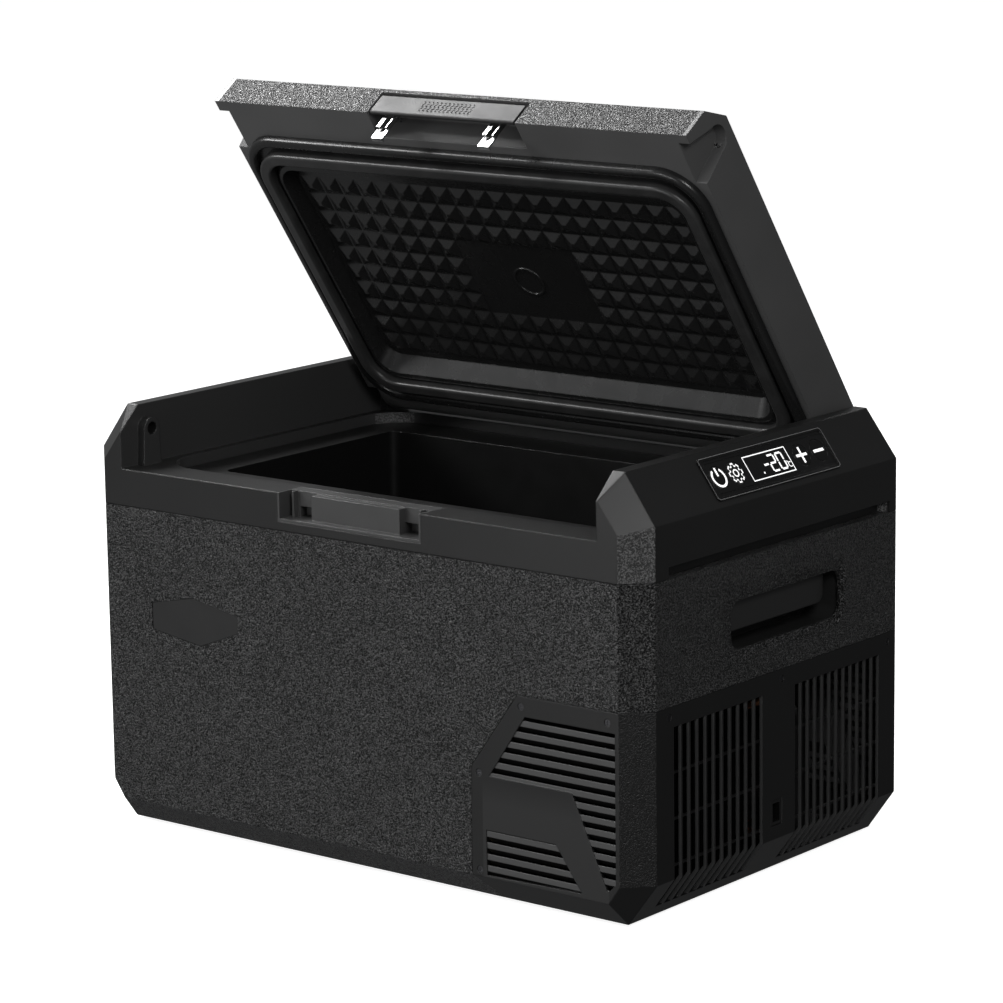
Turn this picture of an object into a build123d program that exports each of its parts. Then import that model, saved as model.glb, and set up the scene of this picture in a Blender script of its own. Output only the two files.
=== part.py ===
from build123d import *
from math import cos, radians, sin
import os

# Compressor cooler fridge: insulated cabinet, hinged lid with a latch, and a cooling bay behind a vent cover.
# Millimetres. The origin is at the centre of the base, on the floor. +X is the side with the cooling bay and
# the control panel, -Y is the front with the latch, +Z is up. The lid is drawn shut and then turned to rest.

# ---- driving dimensions ------------------------------------------------------------------------------------
WIDTH = 600.0
DEPTH = 388.0
FOOT_HEIGHT = 3.0
SEAM_Z = 288.0  # top of the body shell, underside of the upper frame
RIM_Z = 321.0  # flat lip of the upper frame
TOP_Z = 374.0  # top of the wings and of the shut lid
WALL = 3.0
FACING_GAP = 0.4  # visible joint line between two mouldings

# outer form of the cabinet
CORNER_CUT = 21.5
SIDE_CUT_Z = 40.0
SIDE_CUT_IN = 27.5
FRONT_CUT_Z = 24.5
FRONT_CUT_IN = 20.0
EDGE_ROUND = 1.2

# wings of the upper frame
WING_IN_X = 258.0
WING_TOP_X = 270.0
WING_SIDE_Z = 333.5
WING_FRONT_Z = 353.0
WING_FRONT_IN = 22.5
WING_CORNER_Z = 327.5
GROOVE_HEIGHT = 10.0
GROOVE_DEPTH = 9.0
GROOVE_Y = (-155.0, 163.0)

# tub and the step that takes the lid's seal
TUB_HALF_X = 211.0
TUB_HALF_Y = 115.0
TUB_FLOOR_Z = 42.0
TUB_WALL = 2.5
TUB_ROUND = 8.0
LEDGE_GAP = 6.0  # the frame's ledge stops this far outside the tub's wall
SHELF_X = 88.0
SHELF_Z = 219.0
STEP_HALF_X = 249.5
STEP_HALF_Y = 160.0
STEP_ROUND = 42.0
STEP_Z = 311.5
FRAME_UNDER_Z = 306.0

# hinge and hinge posts
HINGE_Y = 163.5
HINGE_Z = 353.0
PIN_R = 5.0
RUNNING = 0.06
POST_IN_X = 249.5
POST_R = 9.2
POST_BACKING = 8.0
POST_FOOT_HALF = 10.7
POST_HOLE_R = 5.5
POST_HOLE_DEPTH = 12.0

# lid
OPEN_ANGLE = 55.0
LID_HALF_X = 254.5
LID_UNDER_Z = 322.5
LID_BACK_R = 30.0
SLOT_FLOOR_X = 243.5
SLOT_HALF = 12.5
LINER_HALF_X = 247.0
LINER_HALF_Y = 157.0
LINER_ROUND = 39.0
RIDGE_WIDTH = 10.0
RIDGE_Z = 315.5
SEAL_HALF_X = 236.5
SEAL_HALF_Y = 143.0
SEAL_WIDTH = 12.0
SEAL_Z = 312.0
BEAD_HALF_X = 222.5
BEAD_HALF_Y = 128.5
BEAD_Z = 318.0
PAN_MOUTH = (437.0, 246.0)
PAN_FLOOR = (426.0, 222.0)
PAN_Z = 332.0
PYRAMID_PITCH = 21.0
PYRAMID_COUNT = (20, 10)
PYRAMID_HEIGHT = 3.6
PATCH_HALF_X = 52.5
PATCH_HALF_Y = 31.5

# latch
PADDLE_HALF_X = 77.5
PADDLE_TOP_Z = 344.5
PADDLE_THICK = 4.0
LATCH_Y = -186.5
LATCH_Z = 340.5
LATCH_PIN_R = 1.5
HOOK_X = 57.5
HOOK_WIDTH = 12.0
HOOK_FOOT_Z = 299.5
HOOK_STEMS = (-0.92, -0.42, 0.92)  # places of the stems, as parts of the half width
HOOK_WIRE = 1.0
GRIP_DASH = (3.0, 0.9)
GRIP_GRID = (4.4, 2.7, 13, 5)
GRIP_Z = 334.5
KEEPER_HALF_X = 78.0
KEEPER_Z = 296.5
KEEPER_FLOOR = 2.5
KEEPER_BACK_Y = (-178.0, -165.0)
KEEPER_END = 2.0
KEEPER_BLOCK_X = (-47.0, 49.0)
KEEPER_POCKET = (9.0, 13.0)  # half width, and distance below the rim
SEAT_WALL = 3.0
SPRING_X = 66.0
SPRING_R = 3.2

# vent cover
BAY_TOP_Z = 184.0
BAY_OUTLINE = [(176.0, 184.0), (127.0, 116.5), (127.0, 25.0), (150.0, 0.0)]
UPPER_LOUVRE = [(184.0, 166.5), (275.0, 166.5), (275.0, 41.5), (266.5, 34.0), (231.0, 111.0), (146.0, 111.0)]
LOWER_LOUVRE = [(142.5, 65.0), (214.5, 65.0), (240.5, 28.5), (143.0, 26.5)]
SLAT_PITCH = 9.8
SLAT_HEIGHT = 5.2
SLAT_DEPTH = 8.0
SLAT_DROP = 7.0
SLAT_SET_BACK = 0.6
UPPER_FIRST_Z = 163.2
LOWER_FIRST_Z = 64.5
GRILLE_TOP_Z = 166.5
GRILLE_LOW_Z = 14.0
GRILLE_RIB = 1.7
GRILLE_WINDOWS = [(-149.0, -26.0, 11), (21.0, 147.0, 12)]
GRILLE_IN_X = 262.0
CROSS_BAR_Z = [127.5, 89.0, 50.5]
CROSS_BAR_X = (294.5, 297.2)
SOCKET_WINDOW = ((-13.6, 51.6), (2.7, 73.9))  # lowest and highest y and z
SCREW_SIDE_Y = [-155.0, 2.0, 160.0]
SCREW_FRONT = [(180.0, 174.5), (267.5, 174.5), (135.5, 112.5), (135.5, 30.0)]
SCREW_SIDE_Z = 175.3
SCREW_HEAD_R = 2.8
SCREW_SHANK_R = 1.5
CROSS_SLOT = (3.4, 0.8)

# handle cups
DISH_SIZE = (182.0, 62.0)
DISH_AT = (4.5, 235.0)
DISH_DEPTH = 3.0
MOUTH_SIZE = (158.0, 41.0)
MOUTH_AT = (13.0, 231.5)
CUP_MARGIN = 5.0
CUP_DEPTH = 36.0
CUP_WALL = 2.0
CUP_ROUND = 14.0
GRIP_Y = (-60.0, 79.5)
GRIP_BOTTOM_Z = 224.5
GRIP_X = 284.0
GRIP_THICK = 4.0

# blank badge on the front, as x and z
BADGE = [(-227.0, 206.5), (-179.0, 216.5), (-127.0, 207.0), (-127.0, 191.5), (-171.0, 174.5), (-227.0, 182.5)]
BADGE_RECESS = 1.4
BADGE_THICK = 0.9
BADGE_GAP = 0.3

# control panel, on the slope of the right wing
PANEL_Y = 5.5
PANEL_SIZE = (172.0, 35.0)
PANEL_BORDER = 2.2
PANEL_PROUD = 0.8
BUTTON_R = 10.0
BUTTON_GAP = 0.3
BUTTON_PLACES = {"power_button": -71.3, "settings_button": -47.7, "plus_button": 45.9, "minus_button": 70.8}
DISPLAY_WINDOW = (60.0, 23.0)
DISPLAY_AT = -1.0
LENS_SIZE = (PANEL_SIZE[0] - 7.4, PANEL_SIZE[1] - 7.4)
LENS_TOP = 0.4
LENS_THICK = 1.2
BOARD_DEPTH = 5.6
BOARD_THICK = 1.6
BOARD_SIZE = (160.0, 24.0)

# evaporator round the tub
COIL_Z = [92.0, 120.0, 148.0, 176.0]
COIL_R = 3.5
PLATE_THICK = 1.2
PLATE_Z = (78.0, 190.0)
PROBE_Y = 40.0
PROBE_R = 3.0
PROBE_Z = (47.0, 73.0)

# cooling bay
BAY_X = 120.0
BAY_CEILING_Z = 190.0
SHEET = 1.5
FAN_X = 232.0
FAN_Y = -88.0
FAN_Z = 95.0
FAN_SIZE = 100.0
FAN_DEPTH = 25.0
COMPRESSOR_X = 208.0
COMPRESSOR_Y = 92.0
COMPRESSOR_R = 48.0
COMPRESSOR_TOP_Z = 120.0
MOUNT_SPREAD = (100.0, 70.0)
GROMMET_HEIGHT = 8.5
FLOOR_PAN_Z = 7.5
FAN_HOLE_R = 46.0
FAN_SHAFT_R = 2.0
BLADES = 7
BLADE_PITCH = 35.0
BLADE_LENGTH = 28.0
CONDENSER_X = (264.0, 288.0)
CONDENSER_Z = (34.0, 162.0)
CONDENSER_LENGTH = 128.0
TUBE_ROWS = 5
FINS = 24
TUBE_R = 3.0
LOOM_R = 2.2
SOCKET_Y = -5.45
SOCKET_Z = 62.75
SOCKET_MOUTH = (10.4, 16.0)
SEAM_GAP = 0.5
SEAM_DEPTH = 1.2
BUSH_R = 8.0
BUSH_IN_X = 231.5

SIGNS = (-1, 1)
PARTS = {}


def keep(name, part):
    """Label a finished piece and remember it for export."""
    part.label = name
    PARTS[name] = part
    return part


# ---- shared shapes -----------------------------------------------------------------------------------------
def face_plane(points, inset):
    """The plane through three points, facing away from the cabinet's middle and moved inwards by inset."""
    a, b, c = [Vector(*point) for point in points]
    normal = (b - a).cross(c - a).normalized()
    if normal.dot(a - Vector(0, 0, SEAM_Z)) < 0:
        normal = normal * -1
    return Plane(origin=a - normal * inset, z_dir=normal)


def corner_planes(inset):
    """Vertical cuts on the four corners."""
    planes = []
    for sx in SIGNS:
        for sy in SIGNS:
            front = (sx * (WIDTH / 2 - CORNER_CUT), sy * DEPTH / 2, SEAM_Z)
            side = (sx * WIDTH / 2, sy * (DEPTH / 2 - CORNER_CUT), SEAM_Z)
            below = (side[0], side[1], 0)
            planes.append(face_plane([front, side, below], inset))
    return planes


def base_planes(inset):
    """Sloping cuts along the bottom edges and across the bottom corners."""
    low_x = WIDTH / 2 - SIDE_CUT_IN
    low_y = DEPTH / 2 - FRONT_CUT_IN
    planes = []
    for s in SIGNS:
        side = [(s * WIDTH / 2, 0, SIDE_CUT_Z), (s * WIDTH / 2, 9, SIDE_CUT_Z), (s * low_x, 0, FOOT_HEIGHT)]
        face_y = s * DEPTH / 2
        front = [(0, face_y, FRONT_CUT_Z), (9, face_y, FRONT_CUT_Z), (0, s * low_y, FOOT_HEIGHT)]
        planes += [face_plane(side, inset), face_plane(front, inset)]
    for sx in SIGNS:
        for sy in SIGNS:
            facet = [
                (sx * WIDTH / 2, sy * (DEPTH / 2 - CORNER_CUT), SIDE_CUT_Z),
                (sx * (WIDTH / 2 - CORNER_CUT), sy * DEPTH / 2, SIDE_CUT_Z),
                (sx * low_x, sy * low_y, FOOT_HEIGHT),
            ]
            planes.append(face_plane(facet, inset))
    return planes


def wing_planes(inset):
    """Sloping cuts on the tops of the wings."""
    planes = []
    for s in SIGNS:
        slope = [(s * WING_TOP_X, 0, TOP_Z), (s * WING_TOP_X, 9, TOP_Z), (s * WIDTH / 2, 0, WING_SIDE_Z)]
        nose_y = s * (DEPTH / 2 - WING_FRONT_IN)
        nose = [(0, s * DEPTH / 2, WING_FRONT_Z), (9, s * DEPTH / 2, WING_FRONT_Z), (0, nose_y, TOP_Z)]
        planes += [face_plane(slope, inset), face_plane(nose, inset)]
    for sx in SIGNS:
        for sy in SIGNS:
            facet = [
                (sx * (WIDTH / 2 - CORNER_CUT), sy * DEPTH / 2, WING_CORNER_Z),
                (sx * WIDTH / 2, sy * (DEPTH / 2 - CORNER_CUT), WING_SIDE_Z),
                (sx * WING_TOP_X, sy * (DEPTH / 2 - WING_FRONT_IN), TOP_Z),
            ]
            planes.append(face_plane(facet, inset))
    return planes


def faceted_block(inset, bottom, top, planes, rounding=0.0):
    """A block of the cabinet's plan between two heights, cut back by the given planes."""
    with BuildPart() as block:
        with BuildSketch(Plane.XY.offset(bottom)):
            Rectangle(WIDTH - 2 * inset, DEPTH - 2 * inset)
        extrude(amount=top - bottom)
        for plane in planes:
            split(bisect_by=plane, keep=Keep.BOTTOM)
        if rounding:
            inner = block.edges().filter_by_position(Axis.Z, bottom, bottom)
            outer = block.edges().filter_by_position(Axis.Z, top, top)
            skipped = inner + outer
            fillet([edge for edge in block.edges() if edge not in skipped], rounding)
    return block.part


def body_form(inset, bottom, top, rounding=0.0):
    return faceted_block(inset, bottom, top, corner_planes(inset) + base_planes(inset), rounding)


def upper_form(inset, bottom, top):
    return faceted_block(inset, bottom, top, corner_planes(inset) + wing_planes(inset))


def rounded_block(half_x, half_y, radius, bottom, top):
    """A straight block with a rounded rectangle as its plan."""
    with BuildPart() as block:
        with BuildSketch(Plane.XY.offset(bottom)):
            RectangleRounded(2 * half_x, 2 * half_y, radius)
        extrude(amount=top - bottom)
    return block.part


def box_between(low, high):
    """A box from its lowest to its highest corner."""
    with BuildPart() as box:
        with Locations(((low[0] + high[0]) / 2, (low[1] + high[1]) / 2, (low[2] + high[2]) / 2)):
            Box(high[0] - low[0], high[1] - low[1], high[2] - low[2])
    return box.part


def side_box(side, x_range, y_range, z_range):
    """A box on one side of the middle, with its x range measured outwards."""
    xs = sorted(side * x for x in x_range)
    return box_between((xs[0], y_range[0], z_range[0]), (xs[1], y_range[1], z_range[1]))


def front_prism(points, y_near, y_far):
    """An outline drawn on the front, as x and z, and carried from y_near to y_far."""
    with BuildPart() as prism:
        with BuildSketch(Plane(origin=(0, y_near, 0), x_dir=(1, 0, 0), z_dir=(0, -1, 0))):
            with BuildLine():
                Polyline(*points, close=True)
            make_face()
        extrude(amount=y_near - y_far)
    return prism.part


def turned(part):
    """Turn a piece of the shut lid to the rest angle, about the hinge."""
    return part.rotate(Axis((0, HINGE_Y, HINGE_Z), (-1, 0, 0)), OPEN_ANGLE)


# ---- body shell --------------------------------------------------------------------------------------------
def bay_region(gap, depth=DEPTH):
    """Everything on the bay's side of the vent cover's outline, moved right and down by gap."""
    points = [(x + gap, z - gap) for x, z in BAY_OUTLINE]
    points += [(WIDTH, points[-1][1]), (WIDTH, points[0][1])]
    return front_prism(points, -depth, depth)


def side_plane(side, depth, place):
    """A plane on the cabinet's side at a depth, with x running to the back on the +X side."""
    origin = (side * (WIDTH / 2 - depth), place[0], place[1])
    return Plane(origin=origin, x_dir=(0, side, 0), z_dir=(side, 0, 0))


def dish_cut(side):
    """The sloping surround of a handle opening."""
    with BuildPart() as dish:
        with BuildSketch(side_plane(side, 0, DISH_AT)):
            RectangleRounded(*DISH_SIZE, 20)
        with BuildSketch(side_plane(side, DISH_DEPTH, MOUTH_AT)):
            RectangleRounded(*MOUTH_SIZE, 12)
        loft(ruled=True)
    return dish.part


def dish_backing(side):
    """Solid material behind the dish, so that the wall stays thick there."""
    half_y = DISH_SIZE[0] / 2 + WALL
    half_z = DISH_SIZE[1] / 2 + WALL
    return side_box(
        side,
        (WIDTH / 2 - DISH_DEPTH - WALL, WIDTH / 2 - WALL),
        (DISH_AT[0] - half_y, DISH_AT[0] + half_y),
        (DISH_AT[1] - half_z, DISH_AT[1] + half_z),
    )


def cup_mouth(side):
    """The straight hole at the bottom of a dish."""
    with BuildPart() as mouth:
        with BuildSketch(side_plane(side, DISH_DEPTH, MOUTH_AT)):
            RectangleRounded(*MOUTH_SIZE, 12)
        extrude(amount=-WALL - 1)
    return mouth.part


def groove_lip(side):
    """The body's inward lip that closes the finger groove from below."""
    return side_box(
        side,
        (WIDTH / 2 - GROOVE_DEPTH - WALL, WIDTH / 2 - 1),
        (GROOVE_Y[0] - WALL, GROOVE_Y[1] + WALL),
        (SEAM_Z - WALL, SEAM_Z),
    )


def cup_block(side, shrink):
    """The rounded block that a handle cup fills, made smaller by shrink, with its mouth side kept."""
    size = [length + 2 * (CUP_MARGIN - shrink) for length in MOUTH_SIZE]
    with BuildPart() as block:
        with BuildSketch(side_plane(side, DISH_DEPTH + WALL, MOUTH_AT)):
            RectangleRounded(*size, CUP_ROUND - shrink)
        extrude(amount=shrink - CUP_DEPTH)
    return block.part


def grip_plate(side):
    """The plate behind the upper half of a handle's mouth, that the fingers close on."""
    top = MOUTH_AT[1] + MOUTH_SIZE[1] / 2 + CUP_MARGIN - CUP_WALL / 2
    with BuildPart() as grip:
        add(side_box(side, (GRIP_X, GRIP_X + GRIP_THICK), GRIP_Y, (GRIP_BOTTOM_Z, top)))
        fillet(grip.edges().filter_by(Axis.X).group_by(Axis.Z)[0], 8)
    return grip.part


with BuildPart() as body_shell:
    add(body_form(0, FOOT_HEIGHT, SEAM_Z, EDGE_ROUND))
    add(body_form(WALL, FOOT_HEIGHT + WALL, SEAM_Z), mode=Mode.SUBTRACT)
    for s in SIGNS:
        add(dish_backing(s))
        add(dish_cut(s), mode=Mode.SUBTRACT)
        add(cup_mouth(s), mode=Mode.SUBTRACT)
        add(groove_lip(s))
    add(bay_region(0), mode=Mode.SUBTRACT)
    add(front_prism(BADGE, -DEPTH / 2, -DEPTH / 2 + BADGE_RECESS), mode=Mode.SUBTRACT)
keep("body_shell", body_shell.part)

with BuildPart() as badge_plate:
    plate_y = -DEPTH / 2 + BADGE_RECESS
    with BuildSketch(Plane(origin=(0, plate_y, 0), x_dir=(1, 0, 0), z_dir=(0, -1, 0))):
        with BuildLine():
            Polyline(*BADGE, close=True)
        make_face()
        offset(amount=-BADGE_GAP, kind=Kind.INTERSECTION, mode=Mode.REPLACE)
    extrude(amount=BADGE_THICK)
keep("badge_plate", badge_plate.part)

# ---- handle cups -------------------------------------------------------------------------------------------
for s, name in ((1, "handle_cup_right"), (-1, "handle_cup_left")):
    with BuildPart() as handle_cup:
        add(cup_block(s, 0))
        add(cup_block(s, CUP_WALL), mode=Mode.SUBTRACT)
        add(grip_plate(s))
    keep(name, handle_cup.part)


# ---- inner tub, evaporator and foam ------------------------------------------------------------------------
def tub_block(grow, top):
    """The L-shaped inside of the tub, grown by the given amount on its sides and floors."""
    with BuildPart() as block:
        with BuildSketch(Plane.XZ.offset(TUB_HALF_Y + grow)):
            with BuildLine():
                Polyline(
                    (-TUB_HALF_X - grow, top),
                    (-TUB_HALF_X - grow, TUB_FLOOR_Z - grow),
                    (SHELF_X + grow, TUB_FLOOR_Z - grow),
                    (SHELF_X + grow, SHELF_Z - grow),
                    (TUB_HALF_X + grow, SHELF_Z - grow),
                    (TUB_HALF_X + grow, top),
                    close=True,
                )
            make_face()
        extrude(amount=-2 * (TUB_HALF_Y + grow))
        fillet(block.edges().filter_by(Axis.Z), TUB_ROUND + grow)
    return block.part


with BuildPart() as inner_tub:
    add(tub_block(TUB_WALL, STEP_Z))
    add(rounded_block(STEP_HALF_X - 1, STEP_HALF_Y - 1, STEP_ROUND - 1, STEP_Z - TUB_WALL, STEP_Z))
    add(tub_block(0, STEP_Z + 1), mode=Mode.SUBTRACT)
keep("inner_tub", inner_tub.part)


def band(grow, thick, bottom, top):
    """A closed band around the deep half of the tub."""
    half_x = (TUB_HALF_X + SHELF_X) / 2 + TUB_WALL + grow
    half_y = TUB_HALF_Y + TUB_WALL + grow
    radius = TUB_ROUND + TUB_WALL + grow
    with BuildPart() as ring:
        with BuildSketch(Plane.XY.offset(bottom)):
            with Locations(((SHELF_X - TUB_HALF_X) / 2, 0)):
                RectangleRounded(2 * (half_x + thick), 2 * (half_y + thick), radius + thick)
                RectangleRounded(2 * half_x, 2 * half_y, radius, mode=Mode.SUBTRACT)
        extrude(amount=top - bottom)
    return ring.part


keep("evaporator_plate", band(0, PLATE_THICK, *PLATE_Z))

with BuildPart() as evaporator_coil:
    for turn_z in COIL_Z:
        add(band(PLATE_THICK, 2 * COIL_R, turn_z - COIL_R, turn_z + COIL_R))
    rims = evaporator_coil.edges().filter_by(Plane.XY)
    fillet(rims, COIL_R * 0.8)
keep("evaporator_coil", evaporator_coil.part)

with BuildPart() as cabinet_foam:
    add(body_form(WALL, FOOT_HEIGHT + WALL, SEAM_Z))
    add(tub_block(TUB_WALL, SEAM_Z), mode=Mode.SUBTRACT)
    add(box_between((BAY_X - SHEET, -DEPTH, 0), (WIDTH, DEPTH, BAY_CEILING_Z + SHEET)), mode=Mode.SUBTRACT)
    for s in SIGNS:
        add(dish_backing(s), mode=Mode.SUBTRACT)
        add(cup_block(s, 0), mode=Mode.SUBTRACT)
        add(groove_lip(s), mode=Mode.SUBTRACT)
    add(band(0, PLATE_THICK + 2 * COIL_R, *PLATE_Z), mode=Mode.SUBTRACT)
    probe_x = SHELF_X + TUB_WALL
    probe_y = (PROBE_Y - PROBE_R - 1, PROBE_Y + PROBE_R + 1)
    probe_room = side_box(1, (probe_x, probe_x + 8), probe_y, (PROBE_Z[0] - 1, PROBE_Z[1] + 1))
    add(probe_room, mode=Mode.SUBTRACT)
keep("cabinet_foam", cabinet_foam.part)

# ---- upper frame with wings and hinge posts ----------------------------------------------------------------
def hinge_post(sx, sy):
    """A tapered post with a rounded top on a wing's inner wall."""
    with BuildPart() as post:
        with BuildSketch(Plane(origin=(sx * POST_IN_X, sy * HINGE_Y, 0), x_dir=(0, sx, 0), z_dir=(sx, 0, 0))):
            with Locations((0, HINGE_Z)):
                Circle(POST_R)
            with Locations((0, RIM_Z)):
                Rectangle(2 * POST_FOOT_HALF, 2)
            make_hull()
        extrude(amount=WING_IN_X - POST_IN_X + 0.5)
    return post.part


def post_hole(sx, sy, radius, depth):
    """A round hole into a post, from its inner face."""
    with BuildPart() as hole:
        mouth = (sx * (POST_IN_X - 1), sy * HINGE_Y, HINGE_Z)
        with BuildSketch(Plane(origin=mouth, x_dir=(0, 1, 0), z_dir=(sx, 0, 0))):
            Circle(radius)
        extrude(amount=depth + 1)
    return hole.part


def post_backing(sx, sy):
    """Solid material in the wing behind a post."""
    middle_y = sy * HINGE_Y
    y_range = (middle_y - POST_FOOT_HALF, middle_y + POST_FOOT_HALF)
    return side_box(sx, (WING_IN_X, WING_IN_X + POST_BACKING), y_range, (RIM_Z, HINGE_Z + POST_R))


def seam_line():
    """A shallow groove round the outside where the frame meets the body."""
    with BuildPart() as line:
        add(body_form(-1, SEAM_Z, SEAM_Z + SEAM_GAP))
        add(body_form(SEAM_DEPTH, SEAM_Z - 1, SEAM_Z + 1), mode=Mode.SUBTRACT)
    return line.part


def side_groove(s):
    """The finger groove under a wing, with rounded ends."""
    with BuildPart() as groove:
        with BuildSketch(Plane.XY.offset(SEAM_Z)):
            with Locations((s * WIDTH / 2, sum(GROOVE_Y) / 2)):
                RectangleRounded(2 * GROOVE_DEPTH, GROOVE_Y[1] - GROOVE_Y[0], GROOVE_DEPTH - 0.5)
        extrude(amount=GROOVE_HEIGHT)
    return groove.part


def panel_plane(height):
    """The plane of the control panel's slope, raised by height, with x running to the back."""
    run = WIDTH / 2 - WING_TOP_X
    rise = TOP_Z - WING_SIDE_Z
    length = (run**2 + rise**2) ** 0.5
    normal = Vector(rise / length, 0, run / length)
    centre = Vector((WIDTH / 2 + WING_TOP_X) / 2, PANEL_Y, (TOP_Z + WING_SIDE_Z) / 2)
    return Plane(origin=centre + normal * height, x_dir=(0, 1, 0), z_dir=normal)


with BuildPart() as upper_frame:
    add(upper_form(0, SEAM_Z, TOP_Z))
    lid_space = box_between((-WING_IN_X, -DEPTH, RIM_Z), (WING_IN_X, DEPTH, TOP_Z + 1))
    add(lid_space, mode=Mode.SUBTRACT)
    add(rounded_block(STEP_HALF_X, STEP_HALF_Y, STEP_ROUND, STEP_Z - TUB_WALL, RIM_Z), mode=Mode.SUBTRACT)
    # hollow under the lip, closed towards the tub by the ledge
    under = upper_form(WALL, SEAM_Z, FRAME_UNDER_Z)
    reach = WIDTH / 2 - GROOVE_DEPTH - WALL
    add(under.intersect(box_between((-reach, -DEPTH, 0), (reach, DEPTH, TOP_Z))), mode=Mode.SUBTRACT)
    add(tub_block(TUB_WALL + LEDGE_GAP, STEP_Z), mode=Mode.SUBTRACT)
    for s in SIGNS:
        wing_side = side_box(s, (WING_IN_X + WALL, WIDTH), (-DEPTH, DEPTH), (0, TOP_Z))
        wing_inside = upper_form(WALL, SEAM_Z + GROOVE_HEIGHT + WALL, TOP_Z - WALL)
        add(wing_inside.intersect(wing_side), mode=Mode.SUBTRACT)
        add(side_groove(s), mode=Mode.SUBTRACT)
    add(seam_line(), mode=Mode.SUBTRACT)
    for sx in SIGNS:
        for sy in SIGNS:
            add(post_backing(sx, sy))
            add(hinge_post(sx, sy))
    for sx in SIGNS:
        add(post_hole(sx, 1, PIN_R + RUNNING, POST_HOLE_DEPTH), mode=Mode.SUBTRACT)
        add(post_hole(sx, -1, POST_HOLE_R, POST_HOLE_DEPTH), mode=Mode.SUBTRACT)
    # seat of the latch keeper, open to the front and to the top
    seat_x = KEEPER_HALF_X + SEAT_WALL
    seat_y = KEEPER_BACK_Y[1]
    seat_z = KEEPER_Z - SEAT_WALL
    opened = box_between((-KEEPER_HALF_X, -DEPTH / 2 - 1, KEEPER_Z), (KEEPER_HALF_X, seat_y, RIM_Z + 1))
    add(opened, mode=Mode.SUBTRACT)
    add(box_between((-seat_x, seat_y, seat_z), (seat_x, seat_y + SEAT_WALL, FRAME_UNDER_Z)))
    add(box_between((-seat_x, -DEPTH / 2, seat_z), (seat_x, seat_y, KEEPER_Z)))
    for s in SIGNS:
        add(side_box(s, (KEEPER_HALF_X, seat_x), (-DEPTH / 2, seat_y), (seat_z, FRAME_UNDER_Z)))
    with BuildSketch(panel_plane(1)):
        RectangleRounded(PANEL_SIZE[0] - 4, PANEL_SIZE[1] - 4, 3)
    extrude(amount=-WALL - 3, mode=Mode.SUBTRACT)
keep("upper_frame", upper_frame.part)

with BuildPart() as latch_keeper:
    front_y, back_y = KEEPER_BACK_Y
    floor_z = KEEPER_Z + KEEPER_FLOOR
    add(box_between((-KEEPER_HALF_X, front_y, KEEPER_Z), (KEEPER_HALF_X, back_y, RIM_Z)))
    add(box_between((-KEEPER_HALF_X, -DEPTH / 2, KEEPER_Z), (KEEPER_HALF_X, front_y, floor_z)))
    add(box_between((KEEPER_BLOCK_X[0], front_y - 8, floor_z), (KEEPER_BLOCK_X[1], front_y, RIM_Z - 1)))
    for s in SIGNS:
        pocket_x = (HOOK_X - KEEPER_POCKET[0], HOOK_X + KEEPER_POCKET[0])
        pocket_z = (floor_z, RIM_Z - KEEPER_POCKET[1])
        add(side_box(s, pocket_x, (front_y - 1, front_y + 8), pocket_z), mode=Mode.SUBTRACT)
        end_x = (KEEPER_HALF_X - KEEPER_END, KEEPER_HALF_X)
        add(side_box(s, end_x, (-DEPTH / 2, front_y), (KEEPER_Z, RIM_Z)))
        rib_x = (HOOK_X + KEEPER_POCKET[0] + 2, HOOK_X + KEEPER_POCKET[0] + 4)
        add(side_box(s, rib_x, (front_y - 6, front_y), (floor_z, RIM_Z)))
keep("latch_keeper", latch_keeper.part)

with BuildPart() as rim_foam:
    between_wings = box_between((-LINER_HALF_X - WALL, -DEPTH, 0), (LINER_HALF_X + WALL, DEPTH, TOP_Z))
    add(upper_form(WALL, SEAM_Z, FRAME_UNDER_Z).intersect(between_wings))
    add(tub_block(TUB_WALL, STEP_Z), mode=Mode.SUBTRACT)
    seat_back_y = KEEPER_BACK_Y[1] + SEAT_WALL
    seat_room = box_between((-seat_x, -DEPTH, 0), (seat_x, seat_back_y, TOP_Z))
    add(seat_room, mode=Mode.SUBTRACT)
keep("rim_foam", rim_foam.part)

# ---- hinge pins --------------------------------------------------------------------------------------------
with BuildPart() as hinge_pins:
    for s in SIGNS:
        with BuildSketch(Plane(origin=(s * 234, HINGE_Y, HINGE_Z), x_dir=(0, 1, 0), z_dir=(s, 0, 0))):
            Circle(PIN_R)
        extrude(amount=POST_IN_X + POST_HOLE_DEPTH - 235)
    fillet(hinge_pins.edges().filter_by(GeomType.CIRCLE), 0.6)
keep("hinge_pins", hinge_pins.part)


# ---- lid ---------------------------------------------------------------------------------------------------
def lid_form(inset):
    """The shut lid's outside, moved inwards by inset."""
    front = -DEPTH / 2 + inset
    bottom = LID_UNDER_Z + inset
    top = TOP_Z - inset
    back_r = LID_BACK_R - inset
    slope = inset * 0.42
    nose_y = -DEPTH / 2 + WING_FRONT_IN + slope
    with BuildPart() as form:
        with BuildSketch(Plane.YZ.offset(-LID_HALF_X + inset)):
            with BuildLine():
                Polyline(
                    (HINGE_Y, bottom),
                    (front, bottom),
                    (front, WING_FRONT_Z - slope),
                    (nose_y, top),
                    (-nose_y, top),
                    (HINGE_Y + back_r, HINGE_Z - slope),
                )
                RadiusArc((HINGE_Y + back_r, HINGE_Z - slope), (HINGE_Y, bottom), back_r + 0.6)
            make_face()
        extrude(amount=2 * (LID_HALF_X - inset))
    return form.part


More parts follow.
